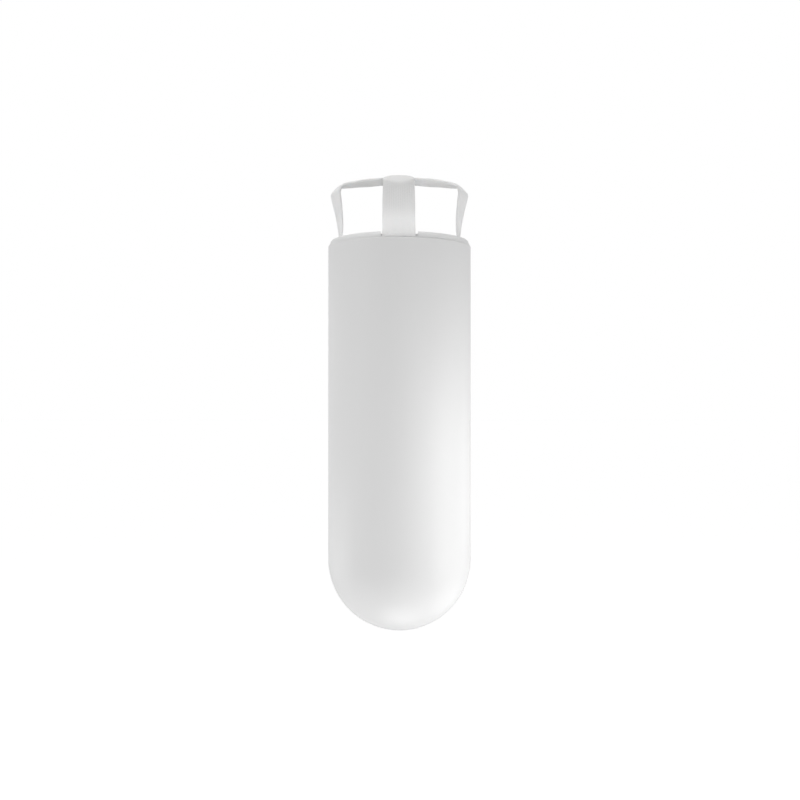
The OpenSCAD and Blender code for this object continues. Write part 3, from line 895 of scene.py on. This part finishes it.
# ---------------------------------------------------------------- panels sewn on the roll
def curved_panel(outer_r, azimuth, half_width, bottom, top, corner_r, edge, seed, waviness=0.12):
    """A panel lying on the roll, with rounded corners and edges rounded in section."""
    inner_r = ROLL_R + 0.06
    thick = outer_r - inner_r
    half_height = (top - bottom) / 2
    rows, cols = 40, 44
    # samples crowd to the borders
    row_part, col_part = np.meshgrid(*(np.sin(np.linspace(-1, 1, count) * math.pi / 2)
                                       for count in (rows, cols)), indexing="ij")
    x, y = row_part * half_width, col_part * half_height
    # pull the outline's corners in to arcs
    past_x = np.abs(x) - (half_width - corner_r)
    past_y = np.abs(y) - (half_height - corner_r)
    in_corner = (past_x > 0) & (past_y > 0)
    pull = np.maximum(past_x, past_y) / np.maximum(np.sqrt(past_x ** 2 + past_y ** 2), 1e-9)
    x = np.where(in_corner, np.sign(x) * (half_width - corner_r + past_x * pull), x)
    y = np.where(in_corner, np.sign(y) * (half_height - corner_r + past_y * pull), y)
    inset = np.minimum(half_width * (1 - np.abs(row_part)), half_height * (1 - np.abs(col_part)))
    lift = np.sqrt(np.clip(1 - (1 - np.clip(inset / edge, 0, 1)) ** 2, 0, 1))
    seam_groove = 0.22 * np.exp(-((inset - 1.9) / 0.8) ** 2)
    outer = (inner_r + thick * (0.25 + 0.75 * lift) - seam_groove * thick
             - waviness * thick * (0.5 + 0.5 * waves(x, y, seed, 0.35)))
    angle = azimuth + x / ((inner_r + outer_r) / 2)
    uvs = np.stack([y, x], -1).reshape(-1, 2)
    quads = grid_faces(rows, cols)
    height = (bottom + top) / 2 + y
    points, faces, uvs = join([
        (around_axis(outer, angle, height), quads, uvs),
        (around_axis(np.full_like(outer, inner_r), angle, height),
         [quad[::-1] for quad in quads], uvs),
    ])
    # wall between the borders of the two faces
    base = rows * cols
    rim = ([i * cols for i in range(rows)]
           + [(rows - 1) * cols + j for j in range(1, cols)]
           + [i * cols + cols - 1 for i in range(rows - 2, -1, -1)]
           + list(range(cols - 2, 0, -1)))
    for here, ahead in zip(rim, rim[1:] + rim[:1]):
        faces.append((ahead, here, here + base, ahead + base))
    return points, faces, uvs


patches = [curved_panel(PATCH_R, k * math.pi / 2, half_width=15.9, bottom=PATCH_BOTTOM + 0.2,
                        top=PATCH_TOP - 0.2, corner_r=4.0, edge=0.9, seed=30 + k)
           for k in range(4)]
add_piece("anchor_patch_cloth", "anchor_patches", PATCH_CLOTH, join(patches))

binding = curved_panel(ROLL_R + 0.85, BIND_AZIMUTH, half_width=7.9, bottom=BIND_BOTTOM,
                       top=BIND_TOP, corner_r=1.2, edge=0.8, seed=51, waviness=0.25)
add_piece("edge_binding_tape", "edge_binding", BINDING_TAPE, binding)

edge_stitches = []
for arc in (-5.5, 5.5):
    edge_stitches += seam(cylinder_face(ROLL_R + 0.72, BIND_AZIMUTH), (BIND_BOTTOM + 4, arc),
                          (BIND_TOP - 4, arc), pitch=3.2, length=2.5, width=0.55, height=0.4)
sew("edge_stitching_thread", "edge_stitching", edge_stitches)


# ---------------------------------------------------------------- foam cushion
def build_cushion():
    """A turned cushion that fills the bowl, with a dished and lumpy top."""
    top = cushion_high.z / MILLI
    ball_r = CASE_R - 3.15
    ball_z = case_low.z / MILLI + CASE_R
    top_r = math.sqrt(ball_r ** 2 - (top - ball_z) ** 2)
    edge_centre_r, edge_r = top_r - 4.2, 3.9
    bowl_r = ball_r - 0.2
    # section from the middle of the top, over the rounded edge and down the bowl
    profile = [(x, top - 0.6 * (1 - (x / top_r) ** 2) - 0.35)
               for x in np.linspace(0.01, edge_centre_r, 22)]
    profile += [(edge_centre_r + edge_r * math.cos(angle),
                 top - edge_r - 0.3 + edge_r * math.sin(angle))
                for angle in np.linspace(math.pi / 2, 0, 8)[1:]]
    start = math.asin((profile[-1][1] - 0.8 - ball_z) / bowl_r)
    profile += [(bowl_r * math.cos(angle), ball_z + bowl_r * math.sin(angle))
                for angle in np.linspace(start, -math.pi / 2 + 0.002, 40)]
    profile = np.array(profile)
    cols, rows, lumpy_cols = len(profile), 120, 30
    turn, col = np.meshgrid(np.linspace(0, 2 * math.pi, rows, endpoint=False),
                            np.arange(cols), indexing="ij")
    radius = profile[col, 0]
    x, y = radius * np.cos(turn), radius * np.sin(turn)
    lumps = 0.18 * waves(x, y, 77, 0.22) - 0.2
    height = profile[col, 1] + lumps * (col < lumpy_cols)
    faces = grid_faces(rows, cols, close_rows=True)
    faces.append(tuple(i * cols for i in range(rows))[::-1])
    faces.append(tuple(i * cols + cols - 1 for i in range(rows)))
    add_piece("base_cushion_foam", "base_cushion", FOAM,
              (around_axis(radius, turn, height), faces, np.stack([x, y], -1).reshape(-1, 2)),
              carrier="case")


build_cushion()


# ---------------------------------------------------------------- stage, light, camera
def build_floor():
    """A wide glowing white floor that only the camera sees."""
    half, z = 30, case_low.z - 0.42
    mesh = bpy.data.meshes.new("floor")
    mesh.from_pydata([(-half, -half, z), (half, -half, z), (half, half, z), (-half, half, z)],
                     [], [(0, 1, 2, 3)])
    floor = bpy.data.objects.new("floor", mesh)
    bpy.context.scene.collection.objects.link(floor)
    mat = Material("floor_paint")
    mat.grey(mat.noise(scale=6).swing(by=0.004) + 0.9)
    mat.rough(mat.noise(scale=3).swing(by=0.1) + 0.8)
    mat.set(Emission_Color=(1, 1, 1, 1), Emission_Strength=0.55)
    mesh.materials.append(mat.material)
    for flag in ("visible_diffuse", "visible_glossy", "visible_transmission", "visible_shadow"):
        setattr(floor, flag, False)


def build_world(fill_strength):
    """A white surround for the camera and an even fill for everything else."""
    world = bpy.data.worlds.new("studio")
    bpy.context.scene.world = world
    world.use_nodes = True
    tree = world.node_tree
    tree.nodes.clear()
    output, mix, path, seen, fill = (tree.nodes.new("ShaderNode" + kind) for kind in (
        "OutputWorld", "MixShader", "LightPath", "Background", "Background"))
    seen.inputs[0].default_value = (1, 1, 1, 1)
    seen.inputs[1].default_value = 1.0
    fill.inputs[1].default_value = fill_strength
    tree.links.new(path.outputs["Is Camera Ray"], mix.inputs[0])
    tree.links.new(fill.outputs[0], mix.inputs[1])
    tree.links.new(seen.outputs[0], mix.inputs[2])
    tree.links.new(mix.outputs[0], output.inputs[0])


# azimuth from the front towards the right and elevation in degrees, distance and size in metres,
# power in watts, height aimed at on the axis in metres
SOFT_BOXES = [
    (-115, 0, 0.3, 0.16, 0.043, -0.2), (-115, 0, 0.3, 0.16, 0.018, 0.05),
    (-90, 0, 0.3, 0.16, 0.088, -0.2), (-60, 0, 0.3, 0.16, 0.008, 0.05),
    (30, 0, 0.3, 0.16, 0.032, -0.1), (25, 0, 0.3, 0.16, 0.022, -0.04),
    (50, 0, 0.3, 0.16, 0.052, -0.2), (50, 0, 0.3, 0.16, 0.100, -0.1),
    (70, 0, 0.3, 0.16, 0.138, -0.2), (70, 0, 0.3, 0.16, 0.088, -0.1),
    (115, 0, 0.3, 0.16, 0.048, -0.1), (65, 0, 0.17, 0.09, 0.0145, -0.04),
    (-150, 0, 1.0, 0.6, 0.32, -0.02), (-120, 0, 1.0, 0.6, 0.20, -0.02),
    (-90, 0, 1.0, 0.6, 0.335, -0.02), (-60, -45, 1.0, 0.6, 0.667, -0.02),
    (-60, 0, 1.0, 0.6, 0.653, -0.02), (-60, 50, 1.0, 0.6, 0.690, -0.02),
    (-30, 0, 1.0, 0.6, 0.257, -0.02), (0, -89.9, 1.0, 0.6, 2.6, -0.02),
    (0, -45, 1.0, 0.6, 0.85, -0.02), (90, -45, 1.0, 0.6, 0.50, -0.02),
    (120, -45, 1.0, 0.6, 0.85, -0.02), (150, 0, 1.0, 0.6, 0.15, -0.02),
    (0, 85, 1.0, 0.6, 3.2, -0.02), (180, 15, 1.0, 0.7, 1.6, -0.02),
]


def soft_box(azimuth, elevation, distance, size, power, height):
    turn, tip = math.radians(azimuth), math.radians(elevation)
    away = Vector((math.sin(turn) * math.cos(tip), -math.cos(turn) * math.cos(tip),
                   math.sin(tip)))
    light = bpy.data.lights.new("soft_box", "AREA")
    light.shape = "DISK"
    light.size = size
    light.energy = power
    obj = bpy.data.objects.new("soft_box", light)
    bpy.context.scene.collection.objects.link(obj)
    obj.location = Vector((AXIS_X, AXIS_Y, height)) + away * distance
    obj.rotation_euler = away.to_track_quat("Z", "Y").to_euler()
    obj.visible_camera = False


def build_camera():
    """A level camera in front of the case."""
    lens = bpy.data.cameras.new("camera")
    lens.sensor_width = 36.0
    lens.lens = 48.6
    lens.clip_start = 0.01
    lens.clip_end = 100
    camera = bpy.data.objects.new("camera", lens)
    bpy.context.scene.collection.objects.link(camera)
    camera.location = (AXIS_X + 0.0004, AXIS_Y - 0.85, case_high.z - 0.1203)
    camera.rotation_euler = (math.pi / 2, 0, 0)
    bpy.context.scene.camera = camera


build_floor()
build_world(fill_strength=0.62)
for box in SOFT_BOXES:
    soft_box(*box)

view = bpy.context.scene.view_settings
view.view_transform = "Standard"
view.look = "None"
view.exposure = 0.0
view.gamma = 1.0
build_camera()
